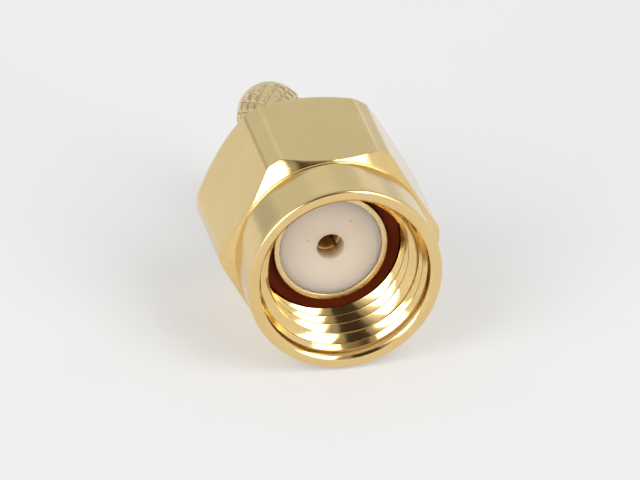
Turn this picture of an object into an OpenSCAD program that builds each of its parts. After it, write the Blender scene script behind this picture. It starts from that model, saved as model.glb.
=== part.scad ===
// Straight coaxial crimp plug: a hexagonal coupling nut turns freely on a plug body whose front carries
// the outer contact, a white insulator with a recessed socket contact, and a weather gasket.
// Units are mm. The axis is Y, the mating plane (front face of the outer contact) is y = 0, the mating
// side faces -Y, up is +Z, and the connector lies on one flat of its nut.
// Every length below is counted forward from the mating plane, so the tail has negative numbers.

/* [Coupling nut] */
// Distance across the wrench flats
hex_af = 8.0; // [7.9:0.05:8.1]
// Radius the hexagon's corners are turned down to
hex_corner_r = 4.444; // [4.3:0.01:4.6]
// Rear face of the nut
nut_rear = -5.4; // [-5.8:0.05:-5.2]
// Front rim of the nut
nut_front = 2.8; // [2.6:0.05:3.0]
// Where the hexagon ends and the round collar starts
collar_start = 0.27; // [0.1:0.01:0.5]
// Radius of the round collar
collar_r = 3.89; // [3.8:0.01:3.92]
// Radius of the smooth counterbore inside the rim
counterbore_r = 3.42; // [3.35:0.01:3.5]
// Where the counterbore ends and the 45 degree lead-in cone to the thread starts
counterbore_end = 2.21; // [2.15:0.01:2.3]
// Crest radius of the internal 1/4-36 thread
thread_r = 2.85; // [2.8:0.01:2.9]
// Bore around the plug body, behind the thread
nut_bore_r = 2.75; // [2.72:0.01:2.8]

// Radius of the turned relief behind the thread
relief_r = 3.25; // [3.22:0.01:3.3]

/* [Plug body] */
// Outer radius of the outer contact
shell_r = 2.285; // [2.2:0.005:2.3]
// Inner radius of the outer contact, which holds the insulator
shell_bore_r = 2.065; // [2.0:0.005:2.1]
// Radius of the flange the nut turns on
flange_r = 2.70; // [2.6:0.01:2.74]
// Front face of the flange
flange_front = -2.5; // [-2.6:0.05:-2.4]
// Rear face of the flange
flange_rear = -5.3; // [-5.4:0.05:-5.1]
// Radius of the smooth neck between the flange and the crimp post
neck_r = 1.38; // [1.35:0.01:1.4]
// Rear end of the crimp post
post_end = -12.6; // [-13.2:0.05:-12.4]
// Bore for the cable's dielectric
cable_r = 0.80; // [0.7:0.01:0.9]

/* [Knurl of the crimp post] */
// Rows of diamonds round the post
knurl_teeth = 16; // [12:1:20]
// Radius of the diamonds' flat tops
knurl_top_r = 1.44; // [1.42:0.01:1.5]
// Depth of the grooves between the diamonds
knurl_depth = 0.13; // [0.08:0.01:0.16]
// Where the knurl starts, behind the neck
knurl_front = -7.55; // [-8:0.05:-7]
// Length of one diamond along the axis
knurl_pitch = 0.96; // [0.8:0.02:1.2]
// Radius of the post at its very end, after the chamfer
post_tip_r = 1.25; // [1.1:0.01:1.3]

/* [Insulator and contact] */
// Front face of the insulator
insulator_front = -0.08; // [-0.2:0.01:0]
// Radius of the entry hole in the insulator's face
entry_r = 0.545; // [0.5:0.005:0.6]
// Front face of the recessed socket contact
contact_front = -0.95; // [-1.1:0.05:-0.3]
// Outer radius of the socket contact
contact_r = 0.635; // [0.6:0.005:0.65]
// Socket bore for a 0.9 mm pin
socket_r = 0.47; // [0.46:0.005:0.48]
// Width of the two crossing slots that make the spring fingers
slot_w = 0.14; // [0.1:0.01:0.2]

/* [Gasket and snap ring] */
// Outer radius of the gasket
gasket_r = 2.84; // [2.7:0.01:2.84]
// Front face of the gasket
gasket_front = -0.30; // [-0.5:0.05:-0.2]
// Thickness of the gasket
gasket_t = 1.2; // [0.8:0.1:1.5]
// Opening of the snap ring, in degrees
ring_gap_deg = 32; // [20:1:50]

/* [Hidden] */
$fn = 96;
hex_r = hex_af / 2 / cos(30);          // corner radius of the full hexagon
front_chamfer = 0.53;                  // axial length of the nut's front chamfer
rear_chamfer = 0.48;                   // axial length of the nut's rear chamfer
rear_chamfer_r = 3.98;                 // radius of the nut's flat rear face
rim_outer_bevel = 0.16;                // bevel on the rim's outer edge
rim_inner_bevel = 0.10;                // bevel on the rim's inner edge
front_chamfer_r = 3.95;                // radius where the front chamfer meets the collar
collar_groove = 0.05;                  // shallow turned line where the hexagon meets the collar
thread_start = counterbore_end - (counterbore_r - thread_r);   // foot of the lead-in cone
thread_back_r = 3.04;                  // middle of the thread's depth, for the turns round the contact
thread_back = -1.4;                    // end of the threaded length
relief_end = -2.3;                     // rear wall of the relief
groove_front = -3.90;                  // front wall of the snap ring's grooves
groove_rear = -4.42;                   // rear wall of the snap ring's grooves
nut_groove_r = 3.05;                   // floor of the groove in the nut
body_groove_r = 2.25;                  // floor of the groove in the plug body
ring_outer_r = 2.98;                   // the ring stands clear of the nut's groove floor
ring_front = -3.96;                    // the ring's front face
ring_rear = -4.36;                     // the ring's rear face
flange_bevel = 0.14;                   // bevel on the flange's edges
shell_bevel = 0.05;                    // bevel on the outer contact's mouth
insulator_rear = -4.4;                 // rear face of the insulator, against the body's shoulder
post_chamfer = 0.8;                    // axial length of the chamfer at the post's end
neck_fillet = 0.18;                    // cone between flange and neck
cable_bevel = 0.12;                    // countersink at the cable bore's mouth
contact_rear = -4.35;                  // rear end of the centre contact
socket_floor = -3.58;                  // floor of the socket bore
slot_floor = -3.0;                     // floor of the finger slots
wire_r = 0.27;                         // hole for the cable's centre conductor
wire_floor = -3.80;                    // floor of that hole
pin_bevel = 0.06;                      // bevel on the contact's mouth
gasket_bevel = 0.08;                   // softened edges of the gasket
knurl_columns = 4 * knurl_teeth;       // the knurl's grid has four columns to a tooth
knurl_rows = round((knurl_front - post_end) / (knurl_pitch / 4));
knurl_step = (knurl_front - post_end) / (knurl_rows + 0.5);

// Turns a profile of (radius, distance forward) about the connector's axis.
module turned() rotate([90, 0, 0]) rotate_extrude($fn = 96) children();

// A plain cylinder between two stations on the axis.
module rod(r, rear, front) rotate([90, 0, 0]) translate([0, 0, rear]) cylinder(r = r, h = front - rear);

module nut_blank() {
  turned() polygon([
    [0, nut_rear], [rear_chamfer_r, nut_rear],
    [hex_corner_r, nut_rear + rear_chamfer],
    [hex_corner_r, collar_start - front_chamfer],
    [front_chamfer_r, collar_start],
    [collar_r - collar_groove, collar_start],
    [collar_r - collar_groove, collar_start + collar_groove],
    [collar_r, collar_start + 2 * collar_groove],
    [collar_r, nut_front - rim_outer_bevel],
    [collar_r - rim_outer_bevel, nut_front],
    [0, nut_front]]);
}

module nut_bore() {
  turned() polygon([
    [0, nut_front + 1], [counterbore_r + rim_inner_bevel, nut_front + 1],
    [counterbore_r + rim_inner_bevel, nut_front],
    [counterbore_r, nut_front - rim_inner_bevel],
    [counterbore_r, counterbore_end], [thread_r, thread_start],
    [thread_r, 0], [thread_back_r, 0],
    [thread_back_r, thread_back], [relief_r, thread_back - 0.1],
    [relief_r, relief_end], [nut_bore_r, relief_end],
    [nut_bore_r, groove_front], [nut_groove_r, groove_front],
    [nut_groove_r, groove_rear], [nut_bore_r, groove_rear],
    [nut_bore_r, nut_rear + 0.15], [nut_bore_r + 0.15, nut_rear],
    [nut_bore_r + 0.15, nut_rear - 1], [0, nut_rear - 1]]);
}

module coupling_nut() color([0.83, 0.68, 0.35]) difference() {
  intersection() {
    nut_blank();
    union() {
      rotate([90, 0, 0]) translate([0, 0, nut_rear - 1])
        linear_extrude(height = collar_start - nut_rear + 1) circle(r = hex_r, $fn = 6);
      rod(hex_r, collar_start - 0.01, nut_front + 1);
    }
  }
  nut_bore();
}

// The knurl is a grid of points on the post. Two sets of grooves slant across it in opposite directions.
// A point where the column plus or minus the row is a multiple of four lies in a groove, and the points
// between the grooves stand up as the flat tops of the diamonds.
function in_groove(col, row) = (col + row) % 4 == 0 || (col - row) % 4 == 0;
function knurl_r(col, row) = in_groove(col, row) ? knurl_top_r - knurl_depth : knurl_top_r;
function knurl_forward(row) = knurl_front - (row + 0.5) * knurl_step;
function chamfer_r(forward) = post_tip_r + (knurl_top_r - post_tip_r) * (forward - post_end) / post_chamfer;

// The mesh cell behind a point is split along the diagonal that lies in a groove or on a diamond's edge.
function split_down(col, row) =
  in_groove(col, row) && in_groove(col + 1, row + 1) || in_groove(col + 1, row) != in_groove(col, row + 1);

module knurled_post() {
  root_r = knurl_top_r - knurl_depth - 0.02;
  rings = concat(
    [[for (col = [0:knurl_columns - 1]) [root_r, knurl_front + 0.1]]],
    [for (row = [0:knurl_rows]) [for (col = [0:knurl_columns - 1])
      [min(knurl_r(col, row), chamfer_r(knurl_forward(row))), knurl_forward(row)]]]);
  points = [for (ring = rings) for (col = [0:knurl_columns - 1])
    [ring[col][0] * cos(360 * col / knurl_columns), ring[col][0] * sin(360 * col / knurl_columns), ring[col][1]]];
  last = len(rings) - 1;
  function at(ring, col) = ring * knurl_columns + col % knurl_columns;
  sides = [for (ring = [0:last - 1], col = [0:knurl_columns - 1])
    let (a = at(ring, col), b = at(ring, col + 1), c = at(ring + 1, col + 1), d = at(ring + 1, col))
    each (split_down(col, ring - 1) ? [[a, b, c], [a, c, d]] : [[a, b, d], [b, c, d]])];
  front_cap = [for (col = [0:knurl_columns - 1]) at(0, knurl_columns - 1 - col)];
  rear_cap = [for (col = [0:knurl_columns - 1]) at(last, col)];
  rotate([90, 0, 0]) polyhedron(points, concat(sides, [front_cap, rear_cap]), convexity = 4);
}

module body() color([0.85, 0.70, 0.36]) difference() {
  union() {
    turned() polygon([
      [0, 0], [shell_r - shell_bevel, 0], [shell_r, -shell_bevel],
      [shell_r, flange_front], [flange_r - flange_bevel, flange_front],
      [flange_r, flange_front - flange_bevel],
      [flange_r, groove_front], [body_groove_r, groove_front],
      [body_groove_r, groove_rear], [flange_r, groove_rear],
      [flange_r, flange_rear + flange_bevel], [flange_r - flange_bevel, flange_rear],
      [neck_r + neck_fillet, flange_rear], [neck_r, flange_rear - neck_fillet],
      [neck_r, knurl_front], [0, knurl_front]]);
    knurled_post();
  }
  turned() polygon([
    [0, 1], [shell_bore_r + shell_bevel, 1], [shell_bore_r + shell_bevel, 0],
    [shell_bore_r, -shell_bevel], [shell_bore_r, insulator_rear],
    [cable_r, insulator_rear], [cable_r, post_end + cable_bevel],
    [cable_r + cable_bevel, post_end], [cable_r + cable_bevel, post_end - 1], [0, post_end - 1]]);
}

module insulator() color([0.90, 0.87, 0.82]) turned() polygon([
    [entry_r, insulator_front], [shell_bore_r, insulator_front],
    [shell_bore_r, insulator_rear], [contact_r, insulator_rear],
    [contact_r, contact_front], [entry_r, contact_front]]);

module centre_contact() color([0.86, 0.70, 0.34]) difference() {
  turned() polygon([
    [socket_r + pin_bevel, contact_front], [contact_r, contact_front],
    [contact_r, contact_rear], [wire_r, contact_rear],
    [wire_r, wire_floor], [0, wire_floor],
    [0, socket_floor], [socket_r, socket_floor],
    [socket_r, contact_front - pin_bevel]]);
  for (turn = [45, 135])
    rotate([90, 0, 0]) rotate([0, 0, turn]) translate([-1, -slot_w / 2, slot_floor])
      cube([2, slot_w, contact_front - slot_floor + 0.5]);
}

module gasket() color([0.35, 0.11, 0.06]) turned() polygon([
    [shell_r, gasket_front], [gasket_r - gasket_bevel, gasket_front],
    [gasket_r, gasket_front - gasket_bevel],
    [gasket_r, gasket_front - gasket_t + gasket_bevel],
    [gasket_r - gasket_bevel, gasket_front - gasket_t],
    [shell_r, gasket_front - gasket_t]]);

module snap_ring() color([0.80, 0.66, 0.36])
  rotate([90, 0, 0]) rotate([0, 0, 90 + ring_gap_deg / 2])
    rotate_extrude(angle = 360 - ring_gap_deg, $fn = 96)
      translate([body_groove_r, ring_rear])
        square([ring_outer_r - body_groove_r, ring_front - ring_rear]);

coupling_nut();
body();
insulator();
centre_contact();
gasket();
snap_ring();
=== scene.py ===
# %% [markdown]
# # A small gold-plated coaxial plug
# This lesson dresses a finished CAD model of a screw-on coaxial plug. The plug is about 15 mm long:
# a hexagonal coupling nut turns on a plug body, and inside its mouth sit a white insulator with a
# recessed socket contact and a dark gasket. A lathe makes nearly every face of the real one, so
# nearly every piece here is a profile carried round the axis.

# %% Load the fixed frame
import bmesh
import bpy
import math
import numpy as np
from mathutils import Matrix, Vector


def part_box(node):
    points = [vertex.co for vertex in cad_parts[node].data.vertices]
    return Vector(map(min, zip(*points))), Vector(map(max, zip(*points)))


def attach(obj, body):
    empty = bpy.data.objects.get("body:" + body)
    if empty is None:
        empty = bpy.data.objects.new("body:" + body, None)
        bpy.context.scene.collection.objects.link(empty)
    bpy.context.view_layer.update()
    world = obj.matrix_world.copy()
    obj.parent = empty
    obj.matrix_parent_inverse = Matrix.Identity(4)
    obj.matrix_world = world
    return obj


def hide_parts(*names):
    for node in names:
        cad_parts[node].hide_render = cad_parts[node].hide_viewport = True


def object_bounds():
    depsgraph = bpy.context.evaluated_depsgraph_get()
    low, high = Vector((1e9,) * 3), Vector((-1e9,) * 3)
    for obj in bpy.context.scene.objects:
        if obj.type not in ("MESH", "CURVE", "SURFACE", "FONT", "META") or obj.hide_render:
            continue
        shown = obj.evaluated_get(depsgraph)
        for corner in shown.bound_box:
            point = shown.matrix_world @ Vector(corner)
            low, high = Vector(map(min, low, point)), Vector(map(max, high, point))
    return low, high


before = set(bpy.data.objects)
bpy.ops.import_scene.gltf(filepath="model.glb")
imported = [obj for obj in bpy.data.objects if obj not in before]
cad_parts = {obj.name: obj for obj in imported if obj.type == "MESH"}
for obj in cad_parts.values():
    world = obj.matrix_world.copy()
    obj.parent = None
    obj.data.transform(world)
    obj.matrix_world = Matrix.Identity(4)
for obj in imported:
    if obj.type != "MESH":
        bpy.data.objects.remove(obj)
cad_low, cad_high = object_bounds()
MM = 0.001
print("CAD box in mm:", [round(v / MM, 2) for v in (*cad_low, *cad_high)])

# %% [markdown]
# The plug's axis is Y and the mating side faces -Y. It is handy to count lengths forward from the
# mating plane, the way a drawing of a connector does, so a helper turns (radius, distance forward,
# angle) into a point in metres. The angle is 0 at the right and 90 degrees at the top.

# %% Points on the plug, from drawing dimensions
def on_plug(radius, forward, angle):
    """A point from a radius and a distance forward in mm, and an angle in radians."""
    return (radius * math.cos(angle) * MM, -forward * MM, radius * math.sin(angle) * MM)


nut_low, nut_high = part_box("coupling_nut")
NUT_FRONT = -nut_low.y / MM
NUT_REAR = -nut_high.y / MM
HALF_FLATS = nut_high.z / MM
CORNER_R = nut_high.x / MM
print("the nut reaches from", round(NUT_REAR, 2), "to", round(NUT_FRONT, 2), "mm forward")
print("it is", round(2 * HALF_FLATS, 2), "mm across flats and", round(2 * CORNER_R, 2), "across corners")

# %% [markdown]
# Real edges are never sharp: even a polished chamfer ends in a tiny radius that catches the light. A
# Bevel modifier could round the finished mesh, but it struggles where a cone crosses a hexagon. Here
# the profile is rounded before it is turned, so each corner becomes a short arc of a few points.

# %% Round the corners of a profile
SIDE_SHARE = 0.46   # the most that one fillet may use up of a side beside it


def rounded(corners, steps=4):
    """Corners are (radius, forward) or (radius, forward, fillet) in mm. Each fillet becomes an arc."""
    points = [np.array(corner[:2], float) for corner in corners]
    out = []
    for i, corner in enumerate(corners):
        here = points[i]
        fillet = corner[2] if len(corner) > 2 else 0.0
        if fillet == 0.0 or i in (0, len(corners) - 1):
            out.append(here)
            continue
        to_last, to_next = points[i - 1] - here, points[i + 1] - here
        last_length, next_length = np.linalg.norm(to_last), np.linalg.norm(to_next)
        to_last, to_next = to_last / last_length, to_next / next_length
        half = math.acos(max(-1.0, min(1.0, float(to_last @ to_next)))) / 2
        reach = min(fillet / math.tan(half), SIDE_SHARE * last_length, SIDE_SHARE * next_length)
        inward = (to_last + to_next) / np.linalg.norm(to_last + to_next)
        centre = here + inward * (reach / math.cos(half))
        start, end = here + to_last * reach - centre, here + to_next * reach - centre
        turn = math.atan2(start[0] * end[1] - start[1] * end[0], start @ end)
        for k in range(steps + 1):
            c, s = math.cos(turn * k / steps), math.sin(turn * k / steps)
            out.append(centre + np.array([c * start[0] - s * start[1], s * start[0] + c * start[1]]))
    return np.array(out)


print("one filleted corner becomes", len(rounded([(0, 0), (1, 0, 0.2), (1, 1)])) - 2, "points")

# %% [markdown]
# Some finishes later ask how far each point of the mesh stands out or lies in. That is only known at
# the points, and on a long face it would smear from one end to the other. So long straight runs are
# split here, where a Subdivision modifier would round the shape as well. Every column needs the same
# count of points, so one column's profile can set the count for the others.

# %% Split the long straight runs
def fine(points, like=None, longest=0.25):
    """No run is longer than that many mm. The parts are counted on the profile "like", if given."""
    like = points if like is None else like
    out = [points[0]]
    for i in range(len(points) - 1):
        parts = max(1, math.ceil(np.linalg.norm(like[i + 1] - like[i]) / longest))
        out += [points[i] + (points[i + 1] - points[i]) * k / parts for k in range(1, parts + 1)]
    return np.array(out)


print("a run of 1 mm is split in", len(fine(np.array([(3.0, 0.0), (3.0, 1.0)]))) - 1)

# %% [markdown]
# Shading decides whether metal looks machined. Every face is smooth, so that the short arcs read as
# round edges, and a Weighted Normal modifier lets the broad faces win over the small ones beside
# them, so that flats stay flat right up to their edges. Marking sharp edges would keep the flats too,
# but then no edge would catch the light. The normals are turned outwards first.

# %% Smooth shading that keeps broad faces flat
BROAD_FACES_WIN = 80   # out of 100; at 50 a face counts by its area alone


def finish_surface(piece):
    """Smooths the piece's faces, turns them outwards and says how many there are."""
    mesh = bmesh.new()
    mesh.from_mesh(piece.data)
    bmesh.ops.recalc_face_normals(mesh, faces=mesh.faces)
    for face in mesh.faces:
        face.smooth = True
    mesh.to_mesh(piece.data)
    mesh.free()
    flats = piece.modifiers.new("broad faces stay flat", "WEIGHTED_NORMAL")
    flats.weight = BROAD_FACES_WIN
    print(piece.name, "has", len(piece.data.polygons), "faces")
    return piece


# %% [markdown]
# A turned piece is its profile carried round the axis. The Screw modifier does this too, but a small
# mesh builder can give every column its own profile, which the hexagonal nut, the thread and the
# knurl need later. Where the sweep is a full circle the last column joins the first, like a doughnut.
# Where it isn't, the two ends are capped.

# %% Skin a grid of points into a piece
def skin(name, columns, whole_circle=True):
    """columns[i][j] are points in metres; a column is a closed profile and quads join the columns."""
    count, rows = len(columns), len(columns[0])
    faces = []
    for i in range(count if whole_circle else count - 1):
        i2 = (i + 1) % count
        for j in range(rows):
            j2 = (j + 1) % rows
            faces.append((i * rows + j, i * rows + j2, i2 * rows + j2, i2 * rows + j))
    if not whole_circle:
        faces.append(tuple(reversed(range(rows))))
        faces.append(tuple((count - 1) * rows + j for j in range(rows)))
    mesh = bpy.data.meshes.new(name)
    mesh.from_pydata([point for column in columns for point in column], [], faces)
    piece = bpy.data.objects.new(name, mesh)
    bpy.context.scene.collection.objects.link(piece)
    return finish_surface(piece)


# %% [markdown]
# The body, the insulator, the contact and the gasket come from the lathe as they are. For them one
# profile serves every column, and only its place round the axis changes.

# %% Turn a profile on the lathe
def turned(name, profile, columns=160, start=0.0, sweep=360.0):
    """A piece turned from a closed profile of (radius, forward) points in mm; angles in degrees."""
    whole = sweep == 360.0
    angles = [math.radians(start + sweep * i / columns) for i in range(columns if whole else columns + 1)]
    return skin(name, [[on_plug(r, s, angle) for r, s in profile] for angle in angles], whole)


# %% [markdown]
# ## The coupling nut
# The nut starts as hexagonal bar. A lathe turns its corners down, chamfers both ends at about 45
# degrees and leaves a round collar in front. Where a chamfer's cone meets a flat of the hexagon the
# edge is a curved scallop. A Boolean of a hexagon and a cone gives that curve as a jagged line of
# triangles; here each column of the mesh works out its own profile from the bar's radius at its
# angle, so the mesh edges run exactly along the scallops.

# %% Radius of the hexagonal bar at any angle
CORNER_BLEND = 0.06   # mm of radius over which a flat rolls into a turned corner


def bar_radius(angle):
    """The bar has flats above and below, and its corners are turned down to CORNER_R."""
    off_flat = (math.degrees(angle) - 90.0 + 30.0) % 60.0 - 30.0
    flat = HALF_FLATS / math.cos(math.radians(off_flat))
    mix = max(0.0, CORNER_BLEND - abs(flat - CORNER_R)) / CORNER_BLEND
    return min(flat, CORNER_R) - mix * mix * CORNER_BLEND / 4


def nut_angles(crowd=2.0, apart=2.4):
    """Columns crowd round the twelve edges where a flat meets a turned corner; values in degrees."""
    edge = math.degrees(math.acos(HALF_FLATS / CORNER_R))
    across_flat = np.linspace(0, edge - apart, 12)
    across_edge = np.linspace(edge - crowd, edge + crowd, 17)
    across_corner = np.linspace(edge + apart, 30.0, 4)
    half = np.concatenate([across_flat, across_edge, across_corner])
    off_flat = np.concatenate([-half[:0:-1], half[:-1]])
    return [math.radians(90 + 60 * side + off) for side in range(6) for off in off_flat]


print("the nut's mesh has", len(nut_angles()), "columns")

# %% [markdown]
# The inside of the nut is bored in steps: a bevelled lip, a smooth counterbore, a 45 degree lead-in
# cone, the thread's root, and a plain bore with a groove for the snap ring. The corners below follow
# the nut's section as on its drawing: outside from the rear to the front, then back through the bore.
# The two chamfers are cones, so their edges move along the axis as the bar's radius changes.

# %% The nut's profile at one angle
COLLAR_START, COLLAR_R = 0.27, 3.89
CHAMFER_R, CHAMFER_SLOPE = 3.95, 1.07       # where the front chamfer meets the collar
REAR_FACE_R, REAR_SLOPE = 3.98, 1.03        # where the rear chamfer meets the rear face
SIDE_POINT = 1.6            # an extra point on the side, this far behind the front chamfer
LIP_WIDTH, LIP_DEPTH = 0.14, 0.10
COUNTERBORE_R, COUNTERBORE_END = 3.42, 2.21
THREAD_ROOT_R = 3.25
RELIEF_REAR = -2.30
NUT_BORE_R, BORE_BEVEL = 2.75, 0.15
GROOVE_R, GROOVE_FRONT, GROOVE_REAR = 3.05, -3.90, -4.42


def nut_corners(bar):
    """The nut's closed profile where the hexagonal bar has this radius."""
    rear_edge = NUT_REAR + (bar - REAR_FACE_R) * REAR_SLOPE
    front_edge = COLLAR_START - (bar - CHAMFER_R) * CHAMFER_SLOPE
    cone_foot = COUNTERBORE_END - (COUNTERBORE_R - THREAD_ROOT_R)
    outside = [
        (NUT_BORE_R, NUT_REAR + BORE_BEVEL, 0.03), (NUT_BORE_R + BORE_BEVEL, NUT_REAR, 0.05),
        (REAR_FACE_R, NUT_REAR, 0.06), (bar, rear_edge, 0.07),
        (bar, front_edge - SIDE_POINT), (bar, front_edge, 0.05),
        (CHAMFER_R, COLLAR_START, 0.02), (COLLAR_R, COLLAR_START, 0.03),
        (COLLAR_R, NUT_FRONT, 0.11)]
    inside = [
        (COUNTERBORE_R + LIP_WIDTH, NUT_FRONT, 0.24), (COUNTERBORE_R, NUT_FRONT - LIP_DEPTH, 0.03),
        (COUNTERBORE_R, COUNTERBORE_END, 0.02), (THREAD_ROOT_R, cone_foot, 0.01),
        (THREAD_ROOT_R, RELIEF_REAR, 0.05), (NUT_BORE_R, RELIEF_REAR, 0.03),
        (NUT_BORE_R, GROOVE_FRONT, 0.02), (GROOVE_R, GROOVE_FRONT, 0.02),
        (GROOVE_R, GROOVE_REAR, 0.02), (NUT_BORE_R, GROOVE_REAR, 0.02)]
    in_rear_bore = [(NUT_BORE_R, NUT_REAR + 0.5)]
    return rounded(in_rear_bore + outside + inside + in_rear_bore)


corner_profile = nut_corners(CORNER_R)
print("the nut's profile has", len(corner_profile), "points before its long runs are split")

# %% [markdown]
# Now the profile is worked out afresh for each column. Its count of points never changes, so the
# columns join up even though the chamfers' edges wander back and forth along the axis.

# %% The nut, column by column
nut_columns = []
for angle in nut_angles():
    profile = fine(nut_corners(bar_radius(angle)), like=corner_profile)[:-1]
    nut_columns.append([on_plug(r, s, angle) for r, s in profile])
nut = skin("coupling_nut_shell", nut_columns)

# %% [markdown]
# ## The thread
# The coupling thread is a 60 degree V with 36 turns to the inch. A real tap cuts the groove. In
# Blender it is simpler to add the ridge that is left over: a V section with a narrow flat on top
# follows a helix inside the bore, with its foot sunk in the wall. The lead-in cone cuts the first turn
# away little by little, and a point of the section always sits on that cut, so the start of the
# thread is a clean spiral edge as on the real nut. Each corner is a pair of points very close
# together: smooth shading then turns over within that hair's breadth and the flanks stay flat.

# %% The ridge's section, cut by the lead-in cone
PITCH = 25.4 / 36
THREAD_CREST_R = 2.86
HALF_CREST = 0.03
HALF_FOOT = HALF_CREST + (THREAD_ROOT_R - THREAD_CREST_R) * math.tan(math.radians(30))
FLANK_SLOPE = (THREAD_ROOT_R - THREAD_CREST_R) / (HALF_FOOT - HALF_CREST)
CUT_BACK = 0.05   # the cut through the ridge lies this far behind the counterbore's cone
SUNK = 0.04       # how far the ridge's foot is sunk in the wall
HAIR = 0.007      # half the space between the two points of a corner


def cut_radius(forward):
    """Radius of the lead-in's cut; inside it nothing of the ridge is left."""
    return COUNTERBORE_R - (COUNTERBORE_END - CUT_BACK - forward)


def ridge_radius(x):
    """Radius of the whole ridge at a distance x from its middle, along the axis."""
    return THREAD_CREST_R + max(0.0, abs(x) - HALF_CREST) * FLANK_SLOPE


def cut_place(middle):
    """Where the cone meets the ridge's crest, or its rear flank once the crest is gone."""
    on_crest = THREAD_CREST_R - cut_radius(middle)
    on_flank = (THREAD_CREST_R - HALF_CREST * FLANK_SLOPE - cut_radius(middle)) / (1 + FLANK_SLOPE)
    return on_crest if on_crest > -HALF_CREST else on_flank


def ridge_section(middle):
    """Section points (radius, forward); each corner is a pair of points, a hair's breadth apart."""
    cut = max(-HALF_FOOT + 0.01, min(HALF_FOOT - 0.01, cut_place(middle)))
    corners = (-HALF_CREST, HALF_CREST, cut)
    xs = sorted([-HALF_FOOT, HALF_FOOT] + [x + step for x in corners for step in (-HAIR, HAIR)])
    section = [(max(ridge_radius(x), cut_radius(middle + x)), middle + x) for x in xs]
    rear, front = middle - HALF_FOOT - SUNK / 2, middle + HALF_FOOT + SUNK / 2
    return [(THREAD_ROOT_R + SUNK, rear), *section, (max(THREAD_ROOT_R, cut_radius(front)) + SUNK, front)]


print("the ridge stands", round(THREAD_ROOT_R - THREAD_CREST_R, 2), "mm high on a foot of",
      round(2 * HALF_FOOT, 2), "mm")

# %% [markdown]
# The helix carries the section round and forward at once. A right-handed thread moves away from the
# eye as it turns clockwise, and which way that is here can be tried on a real screw. At the rear the
# ridge runs out into the wall over a few steps, as it does where a tap stops.

# %% The helix
CREST_AT_BOTTOM = 0.335     # station of a crest at the lowest point of the bore
TURN_STEPS, FADE_STEPS = 144, 14
FIRST_TURN, LAST_TURN = -2.05, 2.78
columns = []
for i in range(round((LAST_TURN - FIRST_TURN) * TURN_STEPS) + 1):
    turns = FIRST_TURN + i / TURN_STEPS
    fade = min(1.0, i / FADE_STEPS)
    whole = ridge_section(CREST_AT_BOTTOM + PITCH * turns)
    section = [(r * fade + (THREAD_ROOT_R + SUNK) * (1 - fade), s) for r, s in whole]
    columns.append([on_plug(r, s, 2 * math.pi * turns - math.pi / 2) for r, s in section])
thread = skin("coupling_nut_thread", columns, whole_circle=False)
print("the thread makes", round(LAST_TURN - FIRST_TURN, 2), "turns at", round(PITCH, 3), "mm pitch")

# %% [markdown]
# ## The plug body
# The body is one turned piece: the thin outer contact in front, a flange that carries the nut, and
# the crimp post at the back. Its front part, the neck included, is a plain turned profile and could be
# a Screw modifier's work. The post has a pattern of its own and is skinned by itself further on.

# %% The body's turned front
SHELL_R, SHELL_BORE_R = 2.285, 2.065
FLANGE_R, FLANGE_FRONT, FLANGE_REAR = 2.70, -2.5, -5.3
BODY_GROOVE_R = 2.25
INSULATOR_REAR = -4.4
NECK_R = 1.38
CABLE_R = 0.80
KNURL_FRONT = -7.55
body_front = rounded([
    (SHELL_BORE_R, -2.0), (SHELL_BORE_R, 0.0, 0.03), (SHELL_R, 0.0, 0.02),
    (SHELL_R, FLANGE_FRONT, 0.05), (FLANGE_R, FLANGE_FRONT, 0.12),
    (FLANGE_R, GROOVE_FRONT, 0.02), (BODY_GROOVE_R, GROOVE_FRONT, 0.02),
    (BODY_GROOVE_R, GROOVE_REAR, 0.02), (FLANGE_R, GROOVE_REAR, 0.02),
    (FLANGE_R, FLANGE_REAR, 0.12), (NECK_R, FLANGE_REAR, 0.18),
    (NECK_R, KNURL_FRONT, 0.05), (CABLE_R, KNURL_FRONT),
    (CABLE_R, INSULATOR_REAR, 0.02), (SHELL_BORE_R, INSULATOR_REAR, 0.02),
    (SHELL_BORE_R, -2.01)])
shell = turned("body_shell", body_front)

# %% [markdown]
# ## The knurled crimp post
# The cable's braid is crimped on to the post, so the post is rolled with a diamond knurl to grip it.
# A displacement texture could fake this, but the diamonds show in the outline, so they are real
# geometry: a fine grid round the post, whose radius drops near either of two sets of slanting grooves.
# The grooves run where the solid model has them, and only the diamonds' tops are rounder.

# %% Height of the knurl
_, body_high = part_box("body")
POST_END = -body_high.y / MM
KNURL_TEETH = 16
KNURL_TOP_R, KNURL_DEPTH = 1.44, 0.13
KNURL_PITCH = 0.96          # length of one diamond along the axis
POST_TIP_R, POST_CHAMFER = 1.25, 0.8
row_count = round((KNURL_FRONT - POST_END) / (KNURL_PITCH / 4))
ROW_STEP = (KNURL_FRONT - POST_END) / (row_count + 0.5)
WALL_STEEPNESS = 3.68       # a groove takes up 2 / 3.68 of the space from one groove to the next
SHOULDER = 1.7              # 1 is a sharp edge, and more than 1 a rounder one
RISE_START, RISE_SLOPE = NECK_R - 0.03, 0.8     # how the knurl comes up out of the neck


def groove_height(x):
    """0 in a groove and 1 on top, for a place x counted in grooves."""
    beside = min(1.0, WALL_STEEPNESS * abs(x - round(x)))
    return 1.0 - (1.0 - beside) ** SHOULDER


def post_radius(forward, angle):
    """The lowest of four: both sets of grooves, the rise from the neck and the chamfer at the tail."""
    column = angle / (2 * math.pi) * 4 * KNURL_TEETH
    row = (KNURL_FRONT - forward) / ROW_STEP - 0.5
    height = min(groove_height((column + row) / 4), groove_height((column - row) / 4))
    radius = KNURL_TOP_R - KNURL_DEPTH * (1 - height)
    rise = RISE_START + (KNURL_FRONT - forward) * RISE_SLOPE
    chamfer = POST_TIP_R + (KNURL_TOP_R - POST_TIP_R) * (forward - POST_END) / POST_CHAMFER
    return min(radius, rise, chamfer)


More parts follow.
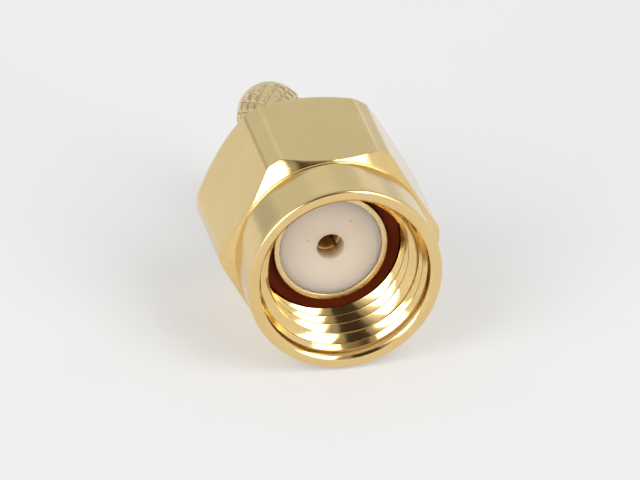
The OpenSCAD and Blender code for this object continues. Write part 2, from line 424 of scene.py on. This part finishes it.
print("the post is", round(2 * KNURL_TOP_R, 2), "mm thick, with grooves", KNURL_DEPTH, "mm deep")

# %% [markdown]
# The post is skinned like the nut, with a fine grid: 20 columns to a diamond. A coarser one would
# show steps along the slanting grooves. The tail end has a small bevel round the cable's bore.

# %% The post's mesh
rows = np.linspace(KNURL_FRONT + 0.05, POST_END + 0.03, 6 * row_count)
column_count = KNURL_TEETH * 20
TAIL_BEVEL = 0.12
post_columns = []
for i in range(column_count):
    angle = 2 * math.pi * i / column_count
    column = [(CABLE_R, KNURL_FRONT + 0.05)]
    column += [(post_radius(s, angle), s) for s in rows]
    column += [(POST_TIP_R - 0.03, POST_END), (CABLE_R + TAIL_BEVEL, POST_END)]
    column += [(CABLE_R, POST_END + TAIL_BEVEL)]
    post_columns.append([on_plug(r, s, angle) for r, s in column])
post = skin("body_post", post_columns)
print("the knurl has", KNURL_TEETH, "rows of diamonds round the post, to", round(POST_END, 2), "mm")

# %% [markdown]
# ## The insulator
# A plain turned bush of white plastic, pressed into the outer contact. Its entry hole is deep: the
# socket contact sits almost a millimetre behind the face. A cylinder with a hole cut by a Boolean
# would serve too, but the profile gives the hole its rounded edge at no cost.

# %% The insulator
insulator_low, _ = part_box("insulator")
FACE = -insulator_low.y / MM
ENTRY_R = 0.545
CONTACT_R, CONTACT_FACE = 0.633, -0.95
FIT = 0.002   # mm kept clear where a piece is pressed into another
insulator = turned("insulator_disc", rounded([
    (ENTRY_R, FACE - 0.2), (ENTRY_R, FACE, 0.035), (SHELL_BORE_R - FIT, FACE, 0.03),
    (SHELL_BORE_R - FIT, INSULATOR_REAR, 0.02), (CONTACT_R + FIT, INSULATOR_REAR),
    (CONTACT_R + FIT, CONTACT_FACE), (ENTRY_R, CONTACT_FACE), (ENTRY_R, FACE - 0.25)]), 128)

# %% [markdown]
# ## The socket contact
# The contact is a tube whose front is sawn crosswise into four spring fingers that squeeze the pin.
# A Boolean cut would do it, but fingers are easy to build as they are: a profile carried through
# nearly a quarter turn. The slot's walls are parallel, so each point's angle depends on its radius.
# The contact's rear end is bored for the cable's centre wire.

# %% The contact's tube and its four fingers
SOCKET_R, SOCKET_FLOOR = 0.47, -3.58
SLOT_W, SLOT_FLOOR = 0.14, -3.0
WIRE_R, WIRE_FLOOR = 0.27, -3.80
CONTACT_REAR = -4.35
NEAR_AXIS = 0.01            # the floors stop this short of the axis, so that no face is pinched there
contact = turned("socket_contact", rounded([
    (WIRE_R, -4.0), (WIRE_R, CONTACT_REAR), (CONTACT_R, CONTACT_REAR, 0.03), (CONTACT_R, SLOT_FLOOR),
    (SOCKET_R, SLOT_FLOOR), (SOCKET_R, SOCKET_FLOOR), (NEAR_AXIS, SOCKET_FLOOR),
    (NEAR_AXIS, WIRE_FLOOR), (WIRE_R, WIRE_FLOOR)]), 72)
finger_profile = rounded([
    (SOCKET_R, -2.0), (SOCKET_R, SLOT_FLOOR), (CONTACT_R, SLOT_FLOOR), (CONTACT_R, CONTACT_FACE, 0.03),
    (SOCKET_R, CONTACT_FACE, 0.07), (SOCKET_R, -1.9)])
fingers = []
for quarter in range(4):
    middle = math.radians(90 * quarter)
    columns = []
    for share in np.linspace(-1, 1, 17):
        columns.append([on_plug(r, s, middle + share * (math.pi / 4 - math.asin(SLOT_W / 2 / r)))
                        for r, s in finger_profile])
    fingers.append(skin("socket_finger_" + str(quarter + 1), columns, whole_circle=False))

# %% [markdown]
# ## The gasket and the snap ring
# The gasket is a moulded ring stretched on the outer contact, turned like the rest with soft edges.
# A Torus would be quicker, but this gasket has flat faces. The snap ring is a flat ring with a gap, so
# it is turned through less than a full circle.

# %% The gasket
gasket_low, gasket_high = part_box("gasket")
GASKET_FRONT, GASKET_REAR, GASKET_R = -gasket_low.y / MM, -gasket_high.y / MM, gasket_high.x / MM
middle = (GASKET_FRONT + GASKET_REAR) / 2
gasket = turned("gasket_ring", rounded([
    (SHELL_R + FIT, middle), (SHELL_R + FIT, GASKET_FRONT, 0.04), (GASKET_R, GASKET_FRONT, 0.03),
    (GASKET_R, GASKET_REAR, 0.07), (SHELL_R + FIT, GASKET_REAR, 0.04), (SHELL_R + FIT, middle - 0.01)]))

# %% [markdown]
# The snap ring sits half in the body's groove and half in the nut's, and so keeps the nut on the body
# while it turns. It is springy wire of a flat section. The gap lets it be squeezed for assembly.

# %% The snap ring
RING_FRONT, RING_REAR = -3.96, -4.36
RING_INNER_R, RING_OUTER_R = BODY_GROOVE_R + FIT, 2.98
RING_GAP = 32               # degrees, at the top
ring = turned("snap_ring_wire", rounded([
    (RING_INNER_R, -4.15), (RING_INNER_R, RING_FRONT, 0.03), (RING_OUTER_R, RING_FRONT, 0.04),
    (RING_OUTER_R, RING_REAR, 0.04), (RING_INNER_R, RING_REAR, 0.03), (RING_INNER_R, -4.17)]),
    120, start=90 + RING_GAP / 2, sweep=360 - RING_GAP)

# %% [markdown]
# ## Finishes
# Each finish is a small node tree round one Principled shader. Nothing real has one flat colour, so
# nearly every tree starts from a noise in the piece's own coordinates. Its scale counts blobs to the
# metre, so on a plug this small it runs to hundreds and thousands. An image texture could carry more,
# but it would have to be painted and unwrapped for each piece.

# %% A new finish and its noise
def new_finish(name):
    """A material with its node tree and its shader."""
    material = bpy.data.materials.new(name)
    material.use_nodes = True
    return material, material.node_tree, material.node_tree.nodes["Principled BSDF"]


def noise(tree, scale, detail=4.0, stretch=(1, 1, 1)):
    """Soft clouds from 0 to 1; a stretch above 1 squeezes them along that axis."""
    place = tree.nodes.new("ShaderNodeTexCoord")
    mapping = tree.nodes.new("ShaderNodeMapping")
    mapping.inputs["Scale"].default_value = stretch
    tree.links.new(place.outputs["Object"], mapping.inputs["Vector"])
    cloud = tree.nodes.new("ShaderNodeTexNoise")
    cloud.inputs["Scale"].default_value = scale
    cloud.inputs["Detail"].default_value = detail
    tree.links.new(mapping.outputs["Vector"], cloud.inputs["Vector"])
    return cloud.outputs["Fac"]


# %% [markdown]
# Noise values crowd round a half and seldom reach 0 or 1. These helpers turn the part from about 0.3
# to 0.7 into a colour or a number, and lay one colour over another.

# %% From noise to colours and numbers
def ramp(tree, value, low, low_colour, high, high_colour):
    """Runs from one colour to another as the value goes from low to high."""
    node = tree.nodes.new("ShaderNodeValToRGB")
    first, last = node.color_ramp.elements
    first.position, first.color = low, (*low_colour, 1)
    last.position, last.color = high, (*high_colour, 1)
    tree.links.new(value, node.inputs["Fac"])
    return node.outputs["Color"]


def spread(tree, value, low, high, to_low, to_high):
    """Maps the range from low to high on the range from to_low to to_high."""
    node = tree.nodes.new("ShaderNodeMapRange")
    for socket, number in zip(("From Min", "From Max", "To Min", "To Max"), (low, high, to_low, to_high)):
        node.inputs[socket].default_value = number
    tree.links.new(value, node.inputs["Value"])
    return node.outputs["Result"]


def blend(tree, factor, below, above):
    """Lays a plain colour over another by a factor."""
    node = tree.nodes.new("ShaderNodeMix")
    node.data_type = "RGBA"
    tree.links.new(factor, node.inputs["Factor"])
    tree.links.new(below, node.inputs["A"])
    node.inputs["B"].default_value = (*above, 1)
    return node.outputs["Result"]


# %% [markdown]
# Marks that are too small to model are left to a bump, which only tilts the light. It can't change an
# outline, so everything from the thread to the knurl is geometry and only the grain is bump.

# %% Fine relief
def bump(tree, height, depth, strength, under=None):
    """A relief of that depth in metres, laid over another relief if one is given."""
    node = tree.nodes.new("ShaderNodeBump")
    node.inputs["Distance"].default_value = depth
    node.inputs["Strength"].default_value = strength
    tree.links.new(height, node.inputs["Height"])
    if under is not None:
        tree.links.new(under, node.inputs["Normal"])
    return node.outputs["Normal"]


# %% [markdown]
# Gold plating over polished brass is a metal: its colour lives in the reflection, so one flat value
# looks like plastic. Soft clouds shift the plate between a paler and a redder gold. Exposed edges are
# rubbed a little paler, and grooves are darkened as painted shade. Both are found by Cycles'
# pointiness, which is a half on a plain face, more on an edge and less in a groove. Two reliefs lie over
# each other: a broad ripple of a few thousandths of a millimetre, and turning marks, which are a noise
# squeezed along the axis into thin rings. A fine noise varies the roughness.

# %% Gold plating
GROOVE_SHADE_TONE = 0.62                    # painted shade in a groove, as a share of the deeper gold
BROAD_RIPPLE = 0.02 * MM            # depths of the reliefs at full strength
TURNING_MARKS = 0.003 * MM


def gold(name, pale, deep, rough, turning, groove_shade=0.55):
    """Turning is the strength of the turning marks; the last argument tells how much painted shade
    darkens a groove.
    """
    material, tree, shader = new_finish(name)
    shader.inputs["Metallic"].default_value = 1.0
    plate = ramp(tree, noise(tree, 420.0, 3.0), 0.3, deep, 0.7, pale)
    shape = tree.nodes.new("ShaderNodeNewGeometry").outputs["Pointiness"]
    # Painted shade: where pointiness is low, in grooves, the plate is darkened towards a deeper gold.
    grooves = spread(tree, shape, 0.40, 0.48, groove_shade, 0.0)
    plate = blend(tree, grooves, plate, tuple(GROOVE_SHADE_TONE * c for c in deep))
    edges = spread(tree, shape, 0.52, 0.62, 0.0, 0.45)
    plate = blend(tree, edges, plate, tuple(min(1.0, 1.05 * c + 0.03) for c in pale))
    tree.links.new(plate, shader.inputs["Base Color"])
    tree.links.new(spread(tree, noise(tree, 3500.0, 5.0), 0.3, 0.7, rough * 0.75, rough * 1.35),
                   shader.inputs["Roughness"])
    ripple = bump(tree, noise(tree, 900.0, 2.0), BROAD_RIPPLE, 0.35)
    rings = bump(tree, noise(tree, 60.0, 2.0, stretch=(1, 500, 1)), TURNING_MARKS, turning, ripple)
    tree.links.new(rings, shader.inputs["Normal"])
    return material


# %% [markdown]
# The nut is polished and is nearly a mirror. The body is duller, because its knurl is rolled and not
# polished. The contact's gold is the richest and the least shiny, deep in its hole. The snap ring is
# spring metal with a thin, pale plate.

# %% Four metals
gold_nut = gold("gold plate on the nut", (0.83, 0.615, 0.285), (0.79, 0.575, 0.245), 0.10, 0.6)
# On the body and its knurl the painted shade in the grooves is kept faint.
gold_body = gold("gold plate on the body", (0.82, 0.64, 0.34), (0.76, 0.58, 0.29), 0.24, 0.5, groove_shade=0.15)
gold_contact = gold("gold plate on the contact", (0.92, 0.68, 0.32), (0.86, 0.60, 0.26), 0.60, 0.3)
ring_metal = gold("plated spring metal", (0.80, 0.66, 0.40), (0.70, 0.55, 0.30), 0.28, 0.3)
for metal in (gold_nut, gold_body, gold_contact, ring_metal):
    print(metal.name, "has", len(metal.node_tree.nodes), "nodes")

# %% [markdown]
# The insulator is a waxy white plastic. Light sinks in about a millimetre and comes out again, which
# subsurface scattering gives. A plain white diffuse surface would look like chalk. A faint grain
# ripples its face, and two tiny flecks of dust sit on it, each a small ball of darker tone round a
# point.

# %% Insulator plastic
def fleck(tree, spot, size):
    """How much a fleck of that size in mm darkens its spot; it fades to nothing at the edge."""
    place = tree.nodes.new("ShaderNodeTexCoord")
    away = tree.nodes.new("ShaderNodeVectorMath")
    away.operation = "DISTANCE"
    away.inputs[1].default_value = spot
    tree.links.new(place.outputs["Object"], away.inputs[0])
    return spread(tree, away.outputs["Value"], size * 0.4 * MM, size * MM, 0.55, 0.0)


ptfe, tree, shader = new_finish("white insulator plastic")
wax = ramp(tree, noise(tree, 500.0), 0.3, (0.95, 0.765, 0.63), 0.7, (0.98, 0.815, 0.69))
DUST = (0.30, 0.22, 0.15)
for radius, angle, size in ((1.35, 52, 0.05), (0.95, 158, 0.045)):
    wax = blend(tree, fleck(tree, on_plug(radius, FACE, math.radians(angle)), size), wax, DUST)
tree.links.new(wax, shader.inputs["Base Color"])
shader.inputs["Roughness"].default_value = 0.38
shader.inputs["Subsurface Weight"].default_value = 1.0
shader.inputs["Subsurface Radius"].default_value = (0.0012, 0.0012, 0.0010)
shader.inputs["Subsurface Scale"].default_value = 1.0
GRAIN = 0.006 * MM
tree.links.new(bump(tree, noise(tree, 2600.0), GRAIN, 0.4), shader.inputs["Normal"])
depth = shader.inputs["Subsurface Radius"].default_value[0]
print("light sinks", round(depth / MM, 1), "mm into the", ptfe.name)

# %% [markdown]
# The gasket is dark red-brown silicone: a matt colour with a faint cloudiness and a moulded grain. Its
# specular level is low, because the rubber's skin is dull and the gold round it would show in it.

# %% Gasket rubber
silicone, tree, shader = new_finish("dark red-brown silicone")
tree.links.new(ramp(tree, noise(tree, 900.0), 0.3, (0.13, 0.017, 0.003), 0.7, (0.18, 0.026, 0.005)),
               shader.inputs["Base Color"])
shader.inputs["Roughness"].default_value = 0.55
shader.inputs["Specular IOR Level"].default_value = 0.12
tree.links.new(bump(tree, noise(tree, 6000.0), GRAIN, 0.5), shader.inputs["Normal"])
print(silicone.name, "has a roughness of", round(shader.inputs["Roughness"].default_value, 2))

# %% [markdown]
# ## Fixing the pieces to the frame
# Every piece gets its finish, says which body of the model it moves with, and names the plain solids
# that it stands in for. When the nut turns, its shell and its thread turn together.

# %% Dress the pieces
dressed = []


def dress(piece, material, body, slot, *solids):
    """Gives a piece its finish, its body and the solids that it replaces; the slot is not used."""
    dressed.append(piece.name)
    piece.data.materials.clear()
    piece.data.materials.append(material)
    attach(piece, body)
    if solids:
        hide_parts(*solids)


dress(nut, gold_nut, "coupling_nut", "gold_nut", "coupling_nut")
dress(thread, gold_nut, "coupling_nut", "gold_nut")
dress(shell, gold_body, "plug_body", "gold_body", "body")
dress(post, gold_body, "plug_body", "gold_body")
dress(insulator, ptfe, "plug_body", "ptfe", "insulator")
dress(contact, gold_contact, "plug_body", "gold_contact", "centre_contact")
for finger in fingers:
    dress(finger, gold_contact, "plug_body", "gold_contact")
dress(gasket, silicone, "plug_body", "silicone", "gasket")
dress(ring, ring_metal, "plug_body", "ring_metal", "snap_ring")
print(len(dressed), "pieces are dressed:", ", ".join(dressed))

# %% [markdown]
# ## Floor
# A broad pale sheet lies under the plug and carries its shadow. The lower half of the gold mirrors it,
# so its tone matters as much as a lamp's. It glows faintly, like a sheet on a light table: that fills
# the shadows from below, which a brighter paper alone wouldn't do without outshining the plug.

# %% Pale floor
FLOOR_HALF = 0.35
FLOOR_GAP = 0.01 * MM   # a hair of room, so that the nut's flat and the floor aren't one plane
floor_z = cad_low.z - FLOOR_GAP
floor_mesh = bpy.data.meshes.new("floor")
corners = [(x * FLOOR_HALF, y * FLOOR_HALF, floor_z) for x, y in ((-1, -1), (1, -1), (1, 1), (-1, 1))]
floor_mesh.from_pydata(corners, [], [(0, 1, 2, 3)])
floor = bpy.data.objects.new("floor", floor_mesh)
bpy.context.scene.collection.objects.link(floor)
paper, tree, shader = new_finish("pale paper")
tree.links.new(ramp(tree, noise(tree, 60.0), 0.3, (0.50, 0.50, 0.50), 0.7, (0.52, 0.52, 0.52)),
               shader.inputs["Base Color"])
shader.inputs["Roughness"].default_value = 0.9
shader.inputs["Specular IOR Level"].default_value = 0.1
shader.inputs["Emission Color"].default_value = (1.0, 1.0, 1.0, 1.0)
shader.inputs["Emission Strength"].default_value = 0.30
floor_mesh.materials.append(paper)
print("the floor lies at", round(floor_z / MM, 2), "mm and is", round(2 * FLOOR_HALF, 1), "m wide")

# %% [markdown]
# ## Light
# Polished gold shows the room more than itself, so the room is built with care. Two soft boxes stand
# in front at the left and right, and between them the camera's side of the room is dark. That dark
# gap is what draws the strong black, gold and white bands across the thread. Everything in the room
# is placed by the direction in which the plug sees it.

# %% Directions seen from the plug
def bearing(azimuth, elevation):
    """A unit direction: azimuth 0 is in front of the plug, 90 to its right, 180 behind it."""
    a, e = math.radians(azimuth), math.radians(elevation)
    return Vector((math.sin(a) * math.cos(e), -math.cos(a) * math.cos(e), math.sin(e)))


def facing_axes(azimuth, elevation, lean=0.0):
    """The sideways, upward and outward axes of a panel that faces the plug, leaning to the right."""
    outward = bearing(azimuth, elevation)
    side = Vector((0, 0, 1)).cross(outward).normalized()
    up = outward.cross(side)
    c, s = math.cos(math.radians(lean)), math.sin(math.radians(lean))
    return side * c - up * s, side * s + up * c, outward


def standing(place, axes):
    """The matrix of a lamp or camera at a place, with its sideways, upward and outward axes."""
    return Matrix.Translation(place) @ Matrix(axes).transposed().to_4x4()


print("45 degrees to the right and 30 up is", [round(v, 2) for v in bearing(45, 30)])

# %% [markdown]
# A soft box is an area lamp. The plug is so small that only the box's apparent size counts, so width
# and height are given as shares of its distance, and its strength as the brightness of its cloth.
# A Sun lamp would be simpler, but a mirror would show it as a dot and not as a broad band.

# %% Two soft boxes
BOX_DISTANCE = 0.5
CLOTH_BRIGHTNESS = 3.5


def soft_box(name, azimuth, elevation, lean, width, height):
    """An area lamp; width and height are in distances from the plug."""
    data = bpy.data.lights.new(name, "AREA")
    data.shape = "RECTANGLE"
    data.size, data.size_y = width * BOX_DISTANCE, height * BOX_DISTANCE
    data.energy = CLOTH_BRIGHTNESS * math.pi * data.size * data.size_y
    lamp = bpy.data.objects.new(name, data)
    axes = facing_axes(azimuth, elevation, lean)
    lamp.matrix_world = standing(axes[2] * BOX_DISTANCE, axes)
    bpy.context.scene.collection.objects.link(lamp)
    print(name, round(data.size, 2), "by", round(data.size_y, 2), "m,", round(data.energy, 2), "W")


soft_box("soft box at the right", 40.0, 41.0, 20, 0.46, 1.04)
soft_box("soft box at the left", -53.4, 31.0, -25, 0.53, 0.87)

# %% [markdown]
# The rest of the room is the world's background. An image of a studio is the usual way, but a few
# nodes can draw one that is easier to adjust. They work on the direction that a ray looks in: how far
# it points along the room's axes, softened into steps, and one colour painted over another.

# %% Tools to paint the room
world = bpy.data.worlds.new("studio")
bpy.context.scene.world = world
world.use_nodes = True
room = world.node_tree
looking = room.nodes.new("ShaderNodeTexCoord").outputs["Generated"]


def along(direction):
    """How far the looked-at direction points along another."""
    dot = room.nodes.new("ShaderNodeVectorMath")
    dot.operation = "DOT_PRODUCT"
    dot.inputs[1].default_value = direction
    room.links.new(looking, dot.inputs[0])
    return dot.outputs["Value"]


def soft_step(value, low, high):
    """Rises softly from 0 at low to 1 at high, also where low is the larger number."""
    node = room.nodes.new("ShaderNodeMapRange")
    node.interpolation_type = "SMOOTHSTEP"
    node.inputs["From Min"].default_value = low
    node.inputs["From Max"].default_value = high
    room.links.new(value, node.inputs["Value"])
    return node.outputs["Result"]


def paint(below, factor, colour):
    """Lays a colour over what is below, as far as the factor says."""
    node = room.nodes.new("ShaderNodeMix")
    node.data_type = "RGBA"
    room.links.new(factor, node.inputs["Factor"])
    if isinstance(below, tuple):
        node.inputs["A"].default_value = (*below, 1)
    else:
        room.links.new(below, node.inputs["A"])
    node.inputs["B"].default_value = (*colour, 1)
    return node.outputs["Result"]


def sky_patch(below, direction, inner, outer, colour):
    """A soft round patch; inner and outer are degrees from its middle."""
    edge = soft_step(along(direction), math.cos(math.radians(outer)), math.cos(math.radians(inner)))
    return paint(below, edge, colour)


print("the room's background has", len(room.nodes), "nodes before it is painted")

# %% [markdown]
# The walls are pale in front and a little darker behind, and the ceiling is dim. A flat of the nut is
# a flat mirror: it shows one small spot of the room, so three soft patches behind the plug set the
# tones of its upper flat, its left flat and the turned corner at its right one by one.

# %% Walls and ceiling
FRONT_WALL, REAR_WALL, CEILING = (0.90, 0.89, 0.87), (0.69, 0.73, 0.76), (0.46, 0.46, 0.46)
light = paint(FRONT_WALL, soft_step(along((0, 1, 0)), -0.1, 0.6), REAR_WALL)
light = sky_patch(light, bearing(153, 15), 4, 10, (0.86, 0.90, 0.98))
light = sky_patch(light, bearing(180, 30), 4, 10, (0.78, 0.81, 0.86))
light = sky_patch(light, bearing(-151, 5), 4, 11, (0.54, 0.57, 0.60))
light = paint(light, soft_step(along((0, 0, 1)), 0.66, 0.84), CEILING)
print("with walls, patches and ceiling it has", len(room.nodes))

# %% [markdown]
# The dark gap between the boxes is painted last, as two windows of direction in front of the plug: a
# dim surround and, within it, a nearly black middle. Each is bounded by how far a direction points to
# the right and how far it points up. A window bounded by angles would bend round the ceiling.

# %% The dark gap between the boxes
def product(first, second):
    """One value times another."""
    node = room.nodes.new("ShaderNodeMath")
    node.operation = "MULTIPLY"
    room.links.new(first, node.inputs[0])
    room.links.new(second, node.inputs[1])
    return node.outputs["Value"]


rightward, upward, forward = along((1, 0, 0)), along((0, 0, 1)), along((0, -1, 0))


def between(value, low, high, edge):
    """1 between two values, with edges that are soft over twice the width given."""
    rise = soft_step(value, low - edge, low + edge)
    return product(rise, soft_step(value, high + edge, high - edge))


def dark_window(below, left, right, low, high, edge, colour):
    """A soft-edged window in front of the plug."""
    inside = product(between(rightward, left, right, edge), between(upward, low, high, edge))
    return paint(below, product(inside, soft_step(forward, 0.05, 0.15)), colour)


light = dark_window(light, -0.38, 0.30, 0.34, 0.97, 0.05, (0.40, 0.37, 0.33))
light = dark_window(light, -0.28, 0.10, 0.38, 0.91, 0.03, (0.05, 0.038, 0.03))
room.links.new(light, room.nodes["Background"].inputs["Color"])
print("with the dark gap it has", len(room.nodes))

# %% [markdown]
# ## Camera
# The camera looks down into the plug's mouth from a little to its left. A long lens from three hundred
# millimetres away keeps the hexagon's sides nearly parallel, where a wide one from close by would
# splay them. The shifts move the camera sideways without turning it. The Standard view keeps the
# gold's colour, which the default view would wash out.

# %% Camera
AZIMUTH, ELEVATION, DISTANCE = -11.855, 27.426, 304.07
SHIFT_RIGHT, SHIFT_UP = 0.436, -0.307
LENS_IN_WIDTHS = 12.0325    # focal length over the width of the frame
camera_axes = side, up, outward = facing_axes(AZIMUTH, ELEVATION)
camera_data = bpy.data.cameras.new("camera")
camera_data.sensor_width = 36
camera_data.lens = LENS_IN_WIDTHS * camera_data.sensor_width
camera_data.clip_start, camera_data.clip_end = 0.01, 10
camera = bpy.data.objects.new("camera", camera_data)
stand = (outward * DISTANCE - side * SHIFT_RIGHT - up * SHIFT_UP) * MM
camera.matrix_world = standing(stand, camera_axes)
bpy.context.scene.collection.objects.link(camera)
bpy.context.scene.camera = camera
bpy.context.scene.view_settings.view_transform = "Standard"
print("the camera stands", DISTANCE, "mm away, with a lens of", round(camera_data.lens), "mm")
